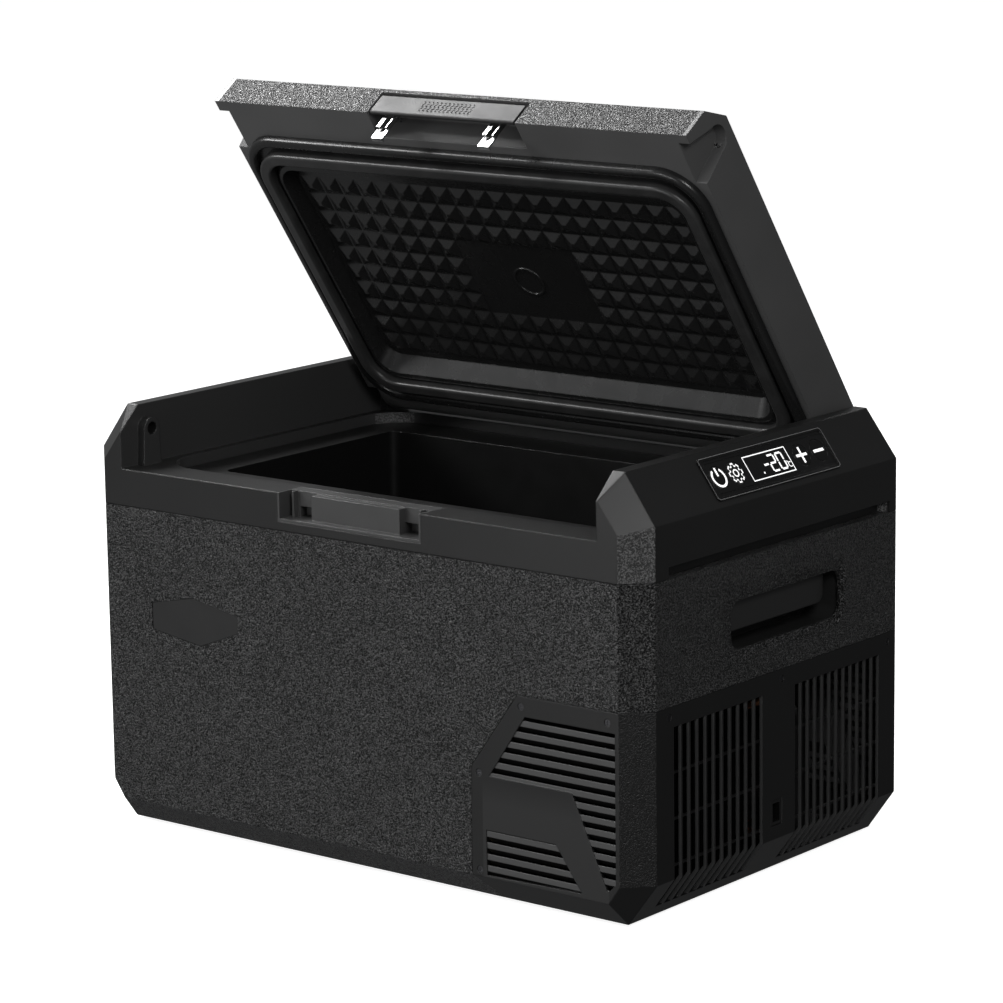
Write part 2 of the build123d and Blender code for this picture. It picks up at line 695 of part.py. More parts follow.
def slot_cut(s, grow):
    """The slots in a lid side that clear the hinge posts, grown by a wall thickness."""
    floor_x = SLOT_FLOOR_X - grow
    out_x = LID_HALF_X + 1
    with BuildPart() as cut:
        with BuildSketch(Plane(origin=(s * floor_x, 0, 0), x_dir=(0, s, 0), z_dir=(s, 0, 0))):
            with BuildLine():
                front_y = -s * HINGE_Y
                Polyline(
                    (front_y - 22 - grow, LID_UNDER_Z - 1),
                    (front_y - SLOT_HALF - grow, HINGE_Z),
                    (front_y + SLOT_HALF + grow, HINGE_Z),
                    (front_y + 20 + grow, LID_UNDER_Z - 1),
                    close=True,
                )
            make_face()
            with Locations((front_y, HINGE_Z)):
                Circle(SLOT_HALF + grow)
            back_y = s * HINGE_Y
            with Locations((back_y, HINGE_Z)):
                Circle(SLOT_HALF + grow)
            reach = s * 60
            with BuildLine():
                Polyline(
                    (back_y - s * (SLOT_HALF + grow), HINGE_Z),
                    (back_y - s * (SLOT_HALF + grow), LID_UNDER_Z - 12),
                    (back_y + reach, LID_UNDER_Z - 12),
                    (back_y + reach, HINGE_Z + SLOT_HALF + grow),
                    (back_y, HINGE_Z + SLOT_HALF + grow),
                    (back_y, HINGE_Z),
                    close=True,
                )
            make_face()
        extrude(amount=out_x - floor_x)
    return cut.part


LATCH_BOX = ((-80.0, -DEPTH / 2 - 1, LID_UNDER_Z - 1), (80.0, -166.0, PADDLE_TOP_Z + 4.2))


def latch_box(grow):
    (x0, y0, z0), (x1, y1, z1) = LATCH_BOX
    return box_between((x0 - grow, y0, z0), (x1 + grow, y1 + grow, z1 + grow))


def bush_seat(s, radius):
    with BuildPart() as seat:
        with BuildSketch(Plane(origin=(s * BUSH_IN_X, HINGE_Y, HINGE_Z), x_dir=(0, 1, 0), z_dir=(s, 0, 0))):
            Circle(radius)
        extrude(amount=SLOT_FLOOR_X - BUSH_IN_X)
    return seat.part


with BuildPart() as lid_cavity:
    add(lid_form(WALL))
    for s in SIGNS:
        add(slot_cut(s, WALL), mode=Mode.SUBTRACT)
        add(bush_seat(s, BUSH_R + 2.5), mode=Mode.SUBTRACT)
    add(latch_box(WALL), mode=Mode.SUBTRACT)

with BuildPart() as lid_shell:
    add(lid_form(0))
    top_edges = lid_shell.edges().filter_by(Axis.X).group_by(Axis.Z)[-1]
    fillet(top_edges, 2.0)
    add(lid_cavity.part, mode=Mode.SUBTRACT)
    liner_room = rounded_block(LINER_HALF_X, LINER_HALF_Y, LINER_ROUND, LID_UNDER_Z - 1, LID_UNDER_Z + WALL)
    add(liner_room, mode=Mode.SUBTRACT)
    for s in SIGNS:
        add(slot_cut(s, 0), mode=Mode.SUBTRACT)
        add(bush_seat(s, BUSH_R), mode=Mode.SUBTRACT)
    add(latch_box(0), mode=Mode.SUBTRACT)
    for s in SIGNS:
        with Locations((s * (PADDLE_HALF_X + 3.5), LATCH_Y, LATCH_Z)):
            Cylinder(LATCH_PIN_R + RUNNING, 6, rotation=(0, 90, 0), mode=Mode.SUBTRACT)
keep("lid_shell", turned(lid_shell.part))

with BuildPart() as hinge_bushes:
    for s in SIGNS:
        add(bush_seat(s, BUSH_R))
        bore_start = (s * (BUSH_IN_X + 2), HINGE_Y, HINGE_Z)
        with BuildSketch(Plane(origin=bore_start, x_dir=(0, 1, 0), z_dir=(s, 0, 0))):
            Circle(PIN_R + RUNNING)
        extrude(amount=SLOT_FLOOR_X - BUSH_IN_X, mode=Mode.SUBTRACT)
keep("hinge_bushes", turned(hinge_bushes.part))


def ring(half_x, half_y, radius, width, bottom, top):
    """A rounded-rectangle ring of the given width."""
    with BuildPart() as band_ring:
        with BuildSketch(Plane.XY.offset(bottom)):
            RectangleRounded(2 * half_x, 2 * half_y, radius)
            RectangleRounded(2 * (half_x - width), 2 * (half_y - width), radius - width, mode=Mode.SUBTRACT)
        extrude(amount=top - bottom)
    return band_ring.part


with BuildPart() as liner_ridge:
    add(ring(LINER_HALF_X + 1, LINER_HALF_Y + 1, LINER_ROUND + 1, RIDGE_WIDTH, RIDGE_Z, LID_UNDER_Z))
    fillet(liner_ridge.edges().group_by(Axis.Z)[0], 4.2)

with BuildPart() as liner_bead:
    add(ring(BEAD_HALF_X, BEAD_HALF_Y, 25, 12, BEAD_Z, LID_UNDER_Z + 1))
    fillet(liner_bead.faces().sort_by(Axis.Z)[0].outer_wire().edges(), 2.0)

with BuildPart() as pan_space:
    with BuildSketch(Plane.XY.offset(BEAD_Z - 1)):
        RectangleRounded(PAN_MOUTH[0], PAN_MOUTH[1], 20)
    with BuildSketch(Plane.XY.offset(PAN_Z)):
        RectangleRounded(PAN_FLOOR[0], PAN_FLOOR[1], 14)
    loft(ruled=True)

with BuildPart() as pyramids:
    with BuildSketch(Plane.XY.offset(PAN_Z)):
        with GridLocations(PYRAMID_PITCH, PYRAMID_PITCH, *PYRAMID_COUNT) as grid:
            spots = [place.position for place in grid.local_locations]
        clear = [p for p in spots if abs(p.X) > PATCH_HALF_X or abs(p.Y) > PATCH_HALF_Y]
        with Locations(*[(p.X, p.Y) for p in clear]):
            Rectangle(PYRAMID_PITCH - 1.6, PYRAMID_PITCH - 1.6)
    extrude(amount=-PYRAMID_HEIGHT, taper=65)

pan_block = rounded_block(BEAD_HALF_X - 3, BEAD_HALF_Y - 3, 22, LID_UNDER_Z, PAN_Z + TUB_WALL)
with BuildPart() as lid_liner:
    add(rounded_block(LINER_HALF_X, LINER_HALF_Y, LINER_ROUND, LID_UNDER_Z, LID_UNDER_Z + TUB_WALL))
    add(liner_ridge.part)
    add(liner_bead.part)
    add(pan_block)
    add(pan_space.part, mode=Mode.SUBTRACT)
    add(pyramids.part)
    with Locations((0, 0, PAN_Z - 0.4)):
        Cylinder(16, 0.8)
        Cylinder(13.5, 0.8, mode=Mode.SUBTRACT)
keep("lid_liner", turned(lid_liner.part))

with BuildPart() as lid_gasket:
    add(ring(SEAL_HALF_X, SEAL_HALF_Y, 34, SEAL_WIDTH, SEAL_Z, LID_UNDER_Z))
    fillet(lid_gasket.edges().group_by(Axis.Z)[0], 3.0)
keep("lid_gasket", turned(lid_gasket.part))

with BuildPart() as lid_foam:
    add(lid_cavity.part)
    add(liner_room, mode=Mode.SUBTRACT)
    add(pan_block, mode=Mode.SUBTRACT)
keep("lid_foam", turned(lid_foam.part))

# ---- latch -------------------------------------------------------------------------------------------------
with BuildPart() as latch_paddle:
    face_y = -DEPTH / 2
    with BuildSketch(Plane.YZ.offset(-PADDLE_HALF_X)):
        with BuildLine():
            Polyline(
                (face_y, LID_UNDER_Z + 3),
                (face_y, PADDLE_TOP_Z),
                (face_y + PADDLE_THICK, PADDLE_TOP_Z),
                (face_y + PADDLE_THICK, LID_UNDER_Z + 3),
                close=True,
            )
        make_face()
        with Locations((face_y + PADDLE_THICK / 2, LID_UNDER_Z + 3)):
            Circle(PADDLE_THICK / 2)
    extrude(amount=2 * PADDLE_HALF_X)
    for s in SIGNS:
        with Locations((s * (PADDLE_HALF_X - 3), LATCH_Y, LATCH_Z)):
            Cylinder(3.6, 6, rotation=(0, 90, 0))
        lug_x = (PADDLE_HALF_X - 6, PADDLE_HALF_X)
        add(side_box(s, lug_x, (face_y + 2, LATCH_Y), (LATCH_Z - 3.6, LATCH_Z + 3.6)))
        with Locations((s * (PADDLE_HALF_X - 3), LATCH_Y, LATCH_Z)):
            Cylinder(LATCH_PIN_R + RUNNING, 8, rotation=(0, 90, 0), mode=Mode.SUBTRACT)
    # slanting dashes in rows, leaning the other way in every second row
    with BuildSketch(Plane(origin=(0, face_y, GRIP_Z), x_dir=(1, 0, 0), z_dir=(0, -1, 0))):
        pitch_x, pitch_z, columns, rows = GRIP_GRID
        for row in range(rows):
            lean = 35 if row % 2 else -35
            with Locations((0, (row - (rows - 1) / 2) * pitch_z)):
                with GridLocations(pitch_x, pitch_z, columns, 1):
                    Rectangle(*GRIP_DASH, rotation=lean)
    extrude(amount=-0.5, mode=Mode.SUBTRACT)
keep("latch_paddle", turned(latch_paddle.part))

with BuildPart() as latch_hooks:
    stem_y = -DEPTH / 2 + PADDLE_THICK
    for s in SIGNS:
        x0 = s * HOOK_X
        half = HOOK_WIDTH / 2
        add(box_between((x0 - half, stem_y, 326), (x0 + half, stem_y + 1.5, 338)))
        for place in HOOK_STEMS:
            stem = x0 + place * (half - HOOK_WIRE / 2)
            add(box_between((stem - HOOK_WIRE / 2, stem_y, 310), (stem + HOOK_WIRE / 2, stem_y + 5, 330)))
        add(box_between((x0 - half, stem_y + 3.5, HOOK_FOOT_Z), (x0 + half, stem_y + 5, 312)))
        add(box_between((x0 - half, stem_y + 3.5, HOOK_FOOT_Z), (x0 + half, stem_y + 7.5, HOOK_FOOT_Z + 1.5)))
        notch = [(x0 - 1.5, 312.5), (x0 + 4.6, 312.5), (x0 - 1.5, HOOK_FOOT_Z + 5)]
        add(front_prism(notch, stem_y + 3, stem_y + 6), mode=Mode.SUBTRACT)
keep("latch_hooks", turned(latch_hooks.part))

with BuildPart() as latch_pins:
    for s in SIGNS:
        with Locations((s * (PADDLE_HALF_X - 6.5), LATCH_Y, LATCH_Z)):
            Cylinder(LATCH_PIN_R, 22, rotation=(0, 90, 0))
keep("latch_pins", turned(latch_pins.part))

with BuildPart() as latch_springs:
    for s in SIGNS:
        with Locations((s * SPRING_X, LATCH_Y, LATCH_Z)):
            Cylinder(SPRING_R, 8, rotation=(0, 90, 0))
            Cylinder(SPRING_R - 1, 9, rotation=(0, 90, 0), mode=Mode.SUBTRACT)
        arm_x = s * SPRING_X
        arm_top = LATCH_Z + SPRING_R
        add(box_between((arm_x - 4, LATCH_Y, arm_top - 0.9), (arm_x - 3, LATCH_BOX[1][1], arm_top)))
keep("latch_springs", turned(latch_springs.part))


# ---- vent cover --------------------------------------------------------------------------------------------
def louvre(points, first_z):
    """One louvre opening with its slats, as the hole and the sloping slats that fill it."""
    face_y = -DEPTH / 2
    hole = front_prism(points, face_y - 1, face_y + WALL + 1)
    reach = front_prism(points, face_y, face_y + SLAT_SET_BACK + SLAT_DEPTH)
    low = min(z for _, z in points)
    count = int((first_z - low) / SLAT_PITCH) + 1
    near_y = face_y + SLAT_SET_BACK
    far_y = near_y + SLAT_DEPTH
    with BuildPart() as slats:
        with BuildSketch(Plane.YZ.offset(BAY_OUTLINE[1][0])):
            for row in range(count):
                top = first_z - row * SLAT_PITCH
                with BuildLine():
                    Polyline(
                        (near_y, top),
                        (near_y, top - SLAT_HEIGHT),
                        (far_y, top - SLAT_HEIGHT - SLAT_DROP),
                        (far_y, top - SLAT_DROP),
                        close=True,
                    )
                make_face()
        extrude(amount=WIDTH / 2 - BAY_OUTLINE[1][0])
    return hole, slats.part.intersect(reach)


with BuildPart() as vent_cover:
    outside = body_form(0, FOOT_HEIGHT, SEAM_Z, EDGE_ROUND)
    inside = body_form(WALL, FOOT_HEIGHT + WALL, SEAM_Z)
    add(outside.intersect(bay_region(FACING_GAP)))
    add(inside, mode=Mode.SUBTRACT)
    for outline, first_z in ((UPPER_LOUVRE, UPPER_FIRST_Z), (LOWER_LOUVRE, LOWER_FIRST_Z)):
        hole, slats = louvre(outline, first_z)
        for tool in (hole, mirror(hole, about=Plane.XZ, mode=Mode.PRIVATE)):
            add(tool, mode=Mode.SUBTRACT)
        for tool in (slats, mirror(slats, about=Plane.XZ, mode=Mode.PRIVATE)):
            add(tool)
    for low_y, high_y, gaps in GRILLE_WINDOWS:
        pitch = (high_y - low_y + GRILLE_RIB) / gaps
        for gap_index in range(gaps):
            start = low_y + gap_index * pitch
            end = start + pitch - GRILLE_RIB
            slot = box_between((GRILLE_IN_X, start, GRILLE_LOW_Z), (WIDTH / 2 + 1, end, GRILLE_TOP_Z))
            add(slot, mode=Mode.SUBTRACT)
        for bar_z in CROSS_BAR_Z:
            add(side_box(1, CROSS_BAR_X, (low_y - 2, high_y + 2), (bar_z - 0.9, bar_z + 0.9)))
    add(box_between((292, *SOCKET_WINDOW[0]), (WIDTH / 2 + 1, *SOCKET_WINDOW[1])), mode=Mode.SUBTRACT)
    for y in SCREW_SIDE_Y:
        with Locations((WIDTH / 2, y, SCREW_SIDE_Z)):
            Cylinder(SCREW_HEAD_R + 0.2, 3, rotation=(0, 90, 0), mode=Mode.SUBTRACT)
            Cylinder(SCREW_SHANK_R + 0.2, 12, rotation=(0, 90, 0), mode=Mode.SUBTRACT)
    for x, z in SCREW_FRONT:
        for s in SIGNS:
            with Locations((x, s * DEPTH / 2, z)):
                Cylinder(SCREW_HEAD_R + 0.2, 3, rotation=(90, 0, 0), mode=Mode.SUBTRACT)
                Cylinder(SCREW_SHANK_R + 0.2, 12, rotation=(90, 0, 0), mode=Mode.SUBTRACT)
keep("vent_cover", vent_cover.part)

with BuildPart() as cover_screws:
    for y in SCREW_SIDE_Y:
        with Locations((WIDTH / 2 - 1.0, y, SCREW_SIDE_Z)):
            Cylinder(SCREW_HEAD_R, 1.0, rotation=(0, 90, 0))
        with Locations((WIDTH / 2 - 5.0, y, SCREW_SIDE_Z)):
            Cylinder(SCREW_SHANK_R, 8, rotation=(0, 90, 0))
        for turn in (0, 90):
            with Locations(Location((WIDTH / 2 - 0.5, y, SCREW_SIDE_Z), (turn, 0, 0))):
                Box(1.0, *CROSS_SLOT, mode=Mode.SUBTRACT)
    for x, z in SCREW_FRONT:
        for s in SIGNS:
            with Locations((x, s * (DEPTH / 2 - 1.0), z)):
                Cylinder(SCREW_HEAD_R, 1.0, rotation=(90, 0, 0))
            with Locations((x, s * (DEPTH / 2 - 5.0), z)):
                Cylinder(SCREW_SHANK_R, 8, rotation=(90, 0, 0))
            for turn in (0, 90):
                with Locations(Location((x, s * (DEPTH / 2 - 0.5), z), (0, turn, 0))):
                    Box(CROSS_SLOT[0], 1.0, CROSS_SLOT[1], mode=Mode.SUBTRACT)
keep("cover_screws", cover_screws.part)

# ---- power inlet -------------------------------------------------------------------------------------------
with BuildPart() as dc_socket:
    with Locations((290, SOCKET_Y, SOCKET_Z)):
        Box(19, 15.6, 21.6)
    with Locations((299, SOCKET_Y, SOCKET_Z)):
        Box(26, *SOCKET_MOUTH, mode=Mode.SUBTRACT)
    with Locations((285.5, SOCKET_Y, SOCKET_Z)):
        Box(6, 24, 29)
        Box(6.2, *SOCKET_MOUTH, mode=Mode.SUBTRACT)
        Box(1.5, 11, 17)
keep("dc_socket", dc_socket.part)

with BuildPart() as socket_pins:
    for dz in (-4.0, 4.0):
        with Locations((289.5, SOCKET_Y, SOCKET_Z + dz)):
            Cylinder(1.4, 6.5, rotation=(0, 90, 0))
keep("socket_pins", socket_pins.part)

# ---- control panel -----------------------------------------------------------------------------------------
with BuildPart() as control_bezel:
    for outer, inner, start, end in (
        (2 * PANEL_BORDER, -7.0, 0.0, LENS_TOP),
        (2 * PANEL_BORDER, -2.0, LENS_TOP, LENS_TOP + PANEL_PROUD),
        (-4.4, -7.0, -WALL, 0.0),
    ):
        with BuildSketch(panel_plane(start)):
            RectangleRounded(PANEL_SIZE[0] + outer, PANEL_SIZE[1] + outer, 4)
            RectangleRounded(PANEL_SIZE[0] + inner, PANEL_SIZE[1] + inner, 2.4, mode=Mode.SUBTRACT)
        extrude(amount=end - start)
    raised_face = control_bezel.faces().sort_by(Axis(panel_plane(0).origin, panel_plane(0).z_dir))[-1]
    fillet(raised_face.edges(), 0.35)
keep("control_bezel", control_bezel.part)

with BuildPart() as display_lens:
    with BuildSketch(panel_plane(LENS_TOP - LENS_THICK)):
        RectangleRounded(*LENS_SIZE, 2.2)
        for place in BUTTON_PLACES.values():
            with Locations((place, 0)):
                Circle(BUTTON_R + BUTTON_GAP, mode=Mode.SUBTRACT)
    extrude(amount=LENS_THICK)
keep("display_lens", display_lens.part)

with BuildPart() as display_board:
    board_top = BOARD_THICK - BOARD_DEPTH
    with BuildSketch(panel_plane(-BOARD_DEPTH)):
        Rectangle(*BOARD_SIZE)
    extrude(amount=BOARD_THICK)
    with BuildSketch(panel_plane(board_top)):
        with Locations((DISPLAY_AT, 0)):
            Rectangle(*DISPLAY_WINDOW)
    extrude(amount=2.6)
    with BuildSketch(panel_plane(board_top)):
        for place in BUTTON_PLACES.values():
            with Locations((place, 0)):
                Circle(2.0)
    extrude(amount=0.4)
keep("display_board", display_board.part)

for name, place in BUTTON_PLACES.items():
    with BuildPart() as button:
        with BuildSketch(panel_plane(-1.6)):
            with Locations((place, 0)):
                Circle(BUTTON_R)
        extrude(amount=2.0)
        with BuildSketch(panel_plane(-2.6)):
            with Locations((place, 0)):
                Circle(2.5)
        extrude(amount=1.0)
    keep(name, button.part)

# ---- cooling bay -------------------------------------------------------------------------------------------
with BuildPart() as bay_partition:
    half_y = DEPTH / 2 - 24
    add(box_between((BAY_X - SHEET, -half_y, FLOOR_PAN_Z), (BAY_X, half_y, BAY_CEILING_Z + SHEET)))
    add(box_between((BAY_X, -half_y, BAY_CEILING_Z), (270, half_y, BAY_CEILING_Z + SHEET)))
keep("bay_partition", bay_partition.part)

with BuildPart() as bay_floor_pan:
    half_y = DEPTH / 2 - 26
    add(box_between((BAY_X + 12, -half_y, FLOOR_PAN_Z - SHEET), (268, half_y, FLOOR_PAN_Z)))
keep("bay_floor_pan", bay_floor_pan.part)

with BuildPart() as compressor:
    with Locations((COMPRESSOR_X, COMPRESSOR_Y, 17)):
        Box(MOUNT_SPREAD[0] + 22, MOUNT_SPREAD[1] + 22, 2)
        with GridLocations(*MOUNT_SPREAD, 2, 2):
            Hole(4.2)
    with BuildSketch(Plane.XY.offset(18)):
        with Locations((COMPRESSOR_X, COMPRESSOR_Y)):
            Circle(COMPRESSOR_R)
    extrude(amount=COMPRESSOR_TOP_Z - 18)
    fillet(compressor.faces().sort_by(Axis.Z)[-1].edges(), 22)
    with Locations((COMPRESSOR_X, COMPRESSOR_Y, 68)):
        Cylinder(COMPRESSOR_R + 2.5, 5)
    with Locations((COMPRESSOR_X - 44, COMPRESSOR_Y - 12, 84)):
        Box(20, 26, 24)
keep("compressor", compressor.part)

with BuildPart() as compressor_grommets:
    with Locations((COMPRESSOR_X, COMPRESSOR_Y, FLOOR_PAN_Z)):
        with GridLocations(*MOUNT_SPREAD, 2, 2):
            Cylinder(8, GROMMET_HEIGHT, align=(Align.CENTER, Align.CENTER, Align.MIN))
            Cylinder(3.1, GROMMET_HEIGHT, align=(Align.CENTER, Align.CENTER, Align.MIN), mode=Mode.SUBTRACT)
keep("compressor_grommets", compressor_grommets.part)

with BuildPart() as compressor_bolts:
    with Locations((COMPRESSOR_X, COMPRESSOR_Y, FLOOR_PAN_Z)):
        with GridLocations(*MOUNT_SPREAD, 2, 2):
            Cylinder(3.0, 13, align=(Align.CENTER, Align.CENTER, Align.MIN))
    with Locations((COMPRESSOR_X, COMPRESSOR_Y, 18)):
        with GridLocations(*MOUNT_SPREAD, 2, 2):
            Cylinder(6, 3.5, align=(Align.CENTER, Align.CENTER, Align.MIN))
keep("compressor_bolts", compressor_bolts.part)

with BuildPart() as condenser:
    for row in range(TUBE_ROWS):
        with Locations((sum(CONDENSER_X) / 2, FAN_Y, CONDENSER_Z[0] + 10 + 27 * row)):
            Cylinder(4, CONDENSER_LENGTH, rotation=(90, 0, 0))
    for fin in range(FINS):
        fin_y = FAN_Y + 5 * (fin - (FINS - 1) / 2)
        add(side_box(1, CONDENSER_X, (fin_y - 0.4, fin_y + 0.4), CONDENSER_Z))
keep("condenser", condenser.part)

with BuildPart() as fan_frame:
    with Locations((FAN_X + FAN_DEPTH / 2, FAN_Y, FAN_Z)):
        Box(FAN_DEPTH, FAN_SIZE, FAN_SIZE)
        Cylinder(FAN_HOLE_R, FAN_DEPTH + 2, rotation=(0, 90, 0), mode=Mode.SUBTRACT)
    with Locations((FAN_X + 1.5, FAN_Y, FAN_Z)):
        Cylinder(18, 3, rotation=(0, 90, 0))
        Box(3, 96, 5)
        Box(3, 5, 96)
    with Locations((FAN_X + 7, FAN_Y, FAN_Z)):
        Cylinder(FAN_SHAFT_R, 14, rotation=(0, 90, 0))
    with Locations((FAN_X + FAN_DEPTH / 2, FAN_Y, FAN_Z - FAN_SIZE / 2 - 18)):
        Box(FAN_DEPTH, 60, 36)
    for t in SIGNS:
        with Locations((FAN_X + FAN_DEPTH / 2, FAN_Y + t * 18, FAN_Z - FAN_SIZE / 2 - 22)):
            Box(FAN_DEPTH + 2, 18, 24, mode=Mode.SUBTRACT)
keep("fan_frame", fan_frame.part)

with BuildPart() as fan_rotor:
    pitch = radians(BLADE_PITCH)
    with Locations((FAN_X + 13, FAN_Y, FAN_Z)):
        Cylinder(17, 18, rotation=(0, 90, 0))
    for blade in range(BLADES):
        angle = radians(360 / BLADES * blade)
        outward = Vector(0, cos(angle), sin(angle))
        chord = Vector(sin(pitch), -sin(angle) * cos(pitch), cos(angle) * cos(pitch))
        root = Vector(FAN_X + 13, FAN_Y, FAN_Z) + outward * 15
        with BuildSketch(Plane(origin=root, x_dir=chord, z_dir=outward)):
            Rectangle(17, 1.6)
        extrude(amount=BLADE_LENGTH)
    with Locations((FAN_X + 8.5, FAN_Y, FAN_Z)):
        Cylinder(FAN_SHAFT_R + RUNNING, 12, rotation=(0, 90, 0), mode=Mode.SUBTRACT)
keep("fan_rotor", fan_rotor.part)

with BuildPart() as filter_drier:
    with BuildSketch(Plane.XY.offset(60)):
        with Locations((140, 20)):
            Circle(9)
    extrude(amount=70)
    fillet(filter_drier.edges(), 5)
keep("filter_drier", filter_drier.part)


def bent_tube(points, radius, corner):
    """A round tube along straight runs joined by arcs."""
    with BuildPart() as tube:
        with BuildLine() as route:
            FilletPolyline(*points, radius=corner)
        start = route.line
        with BuildSketch(Plane(origin=start @ 0, z_dir=start % 0)):
            Circle(radius)
        sweep(path=start)
    return tube.part


discharge = [(208, 44, 100), (208, 12, 100), (208, 12, 152), (276, 12, 152), (276, -24, 152)]
liquid = [(276, -24, 44), (276, 8, 44), (152, 8, 44), (140, 20, 44), (140, 20, 60)]
suction = [(140, 20, 130), (140, 20, 160), (140, 60, 160), (140, 60, 30), (160, 60, 30)]
keep("discharge_tube", bent_tube(discharge, TUBE_R, 12))
keep("liquid_tube", bent_tube(liquid, TUBE_R, 5))
keep("suction_tube", bent_tube(suction, TUBE_R, 9))

with BuildPart() as controller:
    add(box_between((140, -140, FLOOR_PAN_Z), (200, -50, 38)))
    fillet(controller.edges().filter_by(Axis.Z), 4)
    with Locations((170, -95, 44)):
        with GridLocations(8, 1, 7, 1):
            Box(2, 80, 12)
keep("controller", controller.part)

loom = [(280.4, SOCKET_Y, SOCKET_Z), (268, SOCKET_Y, SOCKET_Z), (215, SOCKET_Y, 24)]
loom += [(215, -60, 24), (200, -60, 24)]
keep("wiring_loom", bent_tube(loom, LOOM_R, 7))

with BuildPart() as temperature_probe:
    with Locations((SHELF_X + TUB_WALL + PROBE_R, PROBE_Y, sum(PROBE_Z) / 2)):
        Cylinder(PROBE_R, PROBE_Z[1] - PROBE_Z[0])
keep("temperature_probe", temperature_probe.part)

# ---- feet --------------------------------------------------------------------------------------------------
with BuildPart() as feet:
    with GridLocations(480, 290, 2, 2):
        Cylinder(13, FOOT_HEIGHT, align=(Align.CENTER, Align.CENTER, Align.MIN))
    fillet(feet.edges().group_by(Axis.Z)[0], 0.8)
keep("feet", feet.part)

# ---- export ------------------------------------------------------------------------------------------------
os.makedirs("parts", exist_ok=True)
for name, piece in PARTS.items():
    export_step(piece, f"parts/{name}.step")
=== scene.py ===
"""Looks for the compressor cooler fridge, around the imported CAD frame. Metres, in the record's frame."""

import math

import bpy
from mathutils import Matrix, Vector


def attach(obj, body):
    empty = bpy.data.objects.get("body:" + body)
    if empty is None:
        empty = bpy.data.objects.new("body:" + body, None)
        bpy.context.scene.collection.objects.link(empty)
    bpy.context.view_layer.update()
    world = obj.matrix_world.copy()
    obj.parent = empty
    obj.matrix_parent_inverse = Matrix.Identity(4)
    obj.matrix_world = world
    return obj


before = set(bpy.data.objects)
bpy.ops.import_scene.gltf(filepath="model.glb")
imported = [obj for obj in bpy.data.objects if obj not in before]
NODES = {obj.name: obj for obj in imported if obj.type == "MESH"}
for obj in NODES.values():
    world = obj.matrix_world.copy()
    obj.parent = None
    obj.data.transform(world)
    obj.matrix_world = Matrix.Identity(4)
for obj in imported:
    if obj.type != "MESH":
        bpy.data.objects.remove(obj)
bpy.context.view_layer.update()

# ---- facts shared with the CAD ---------------------------------------------------------------------------
HINGE = Vector((0.0, 0.1635, 0.353))
OPEN = math.radians(55.0)
WING_TOP = Vector((0.270, 0.0, 0.374))
WING_SIDE = Vector((0.300, 0.0, 0.3335))
PANEL_Y = 0.0055
LENS_TOP = 0.0004
LID_EDGE_X = 0.2505
FRONT_REACH = 0.194 + HINGE.y - 0.001  # a little less than from the hinge to the shut lid's front
# the vent plates' extent, and the height of the painted shadow at their top
PLATE_X, PLATE_Z, PLATE_SHADOW_FADE = (0.139, 0.268), (0.022, 0.108), 0.02
SLAT_FRONT = 0.1937  # between the louvres' faces and the cover's border


# ---- node tree helper ------------------------------------------------------------------------------------
class Tree:
    """A material's node tree, with short calls that add a node and return its output."""

    def __init__(self, name):
        self.material = bpy.data.materials.new(name)
        self.material.use_nodes = True
        self.nodes = self.material.node_tree.nodes
        self.links = self.material.node_tree.links
        self.shader = self.nodes["Principled BSDF"]
        self.points = self.nodes.new("ShaderNodeTexCoord").outputs["Object"]

    def plug(self, socket, value):
        if isinstance(value, bpy.types.NodeSocket):
            self.links.new(value, socket)
        else:
            socket.default_value = value

    def add(self, kind, inputs=(), out=0, **settings):
        node = self.nodes.new("ShaderNode" + kind)
        for key, value in settings.items():
            setattr(node, key, value)
        for key, value in dict(inputs).items():
            self.plug(node.inputs[key], value)
        return node.outputs[out]

    def math(self, operation, a, b=0.0, clamp=False):
        return self.add("Math", {0: a, 1: b}, operation=operation, use_clamp=clamp)

    def ramp(self, value, low, high, to_low=0.0, to_high=1.0):
        return self.add("MapRange", {0: value, 1: low, 2: high, 3: to_low, 4: to_high})

    def noise(self, size, detail=2.0, rough=0.5, warp=0.0):
        wanted = {"Vector": self.points, "Scale": 1 / size}
        wanted.update({"Detail": detail, "Roughness": rough, "Distortion": warp})
        return self.add("TexNoise", wanted)

    def cells(self, size):
        wanted = {"Vector": self.points, "Scale": 1 / size, "Smoothness": 0.6}
        return self.add("TexVoronoi", wanted, feature="SMOOTH_F1")

    def split(self, vector):
        node = self.nodes.new("ShaderNodeSeparateXYZ")
        self.plug(node.inputs[0], vector)
        return node.outputs

    def own_normal(self):
        facing = self.add("NewGeometry", out="True Normal")
        spaces = {"vector_type": "NORMAL", "convert_from": "WORLD", "convert_to": "OBJECT"}
        return self.add("VectorTransform", {0: facing}, **spaces)

    def bump(self, height, distance, under=None):
        wanted = {"Height": height, "Distance": distance, "Strength": 1.0}
        if under is not None:
            wanted["Normal"] = under
        return self.add("Bump", wanted)

    def rounded(self, radius):
        return self.add("Bevel", {"Radius": radius}, samples=4)

    def mix(self, factor, a, b):
        node = self.nodes.new("ShaderNodeMix")
        node.data_type = "RGBA"
        self.plug(node.inputs[0], factor)
        self.plug(node.inputs[6], a)
        self.plug(node.inputs[7], b)
        return node.outputs[2]

    def finish(self, color, rough, normal=None, metal=0.0, **extra):
        self.plug(self.shader.inputs["Base Color"], color)
        self.plug(self.shader.inputs["Roughness"], rough)
        self.shader.inputs["Metallic"].default_value = metal
        if normal is not None:
            self.plug(self.shader.inputs["Normal"], normal)
        for key, value in extra.items():
            self.plug(self.shader.inputs[key.replace("_", " ")], value)
        return self.material


def grey(level):
    return (level, level, level, 1.0)


# ---- materials -------------------------------------------------------------------------------------------
GRAIN = 0.0020
GRAIN_DEPTH = 0.0020
WRINKLE = 0.0012


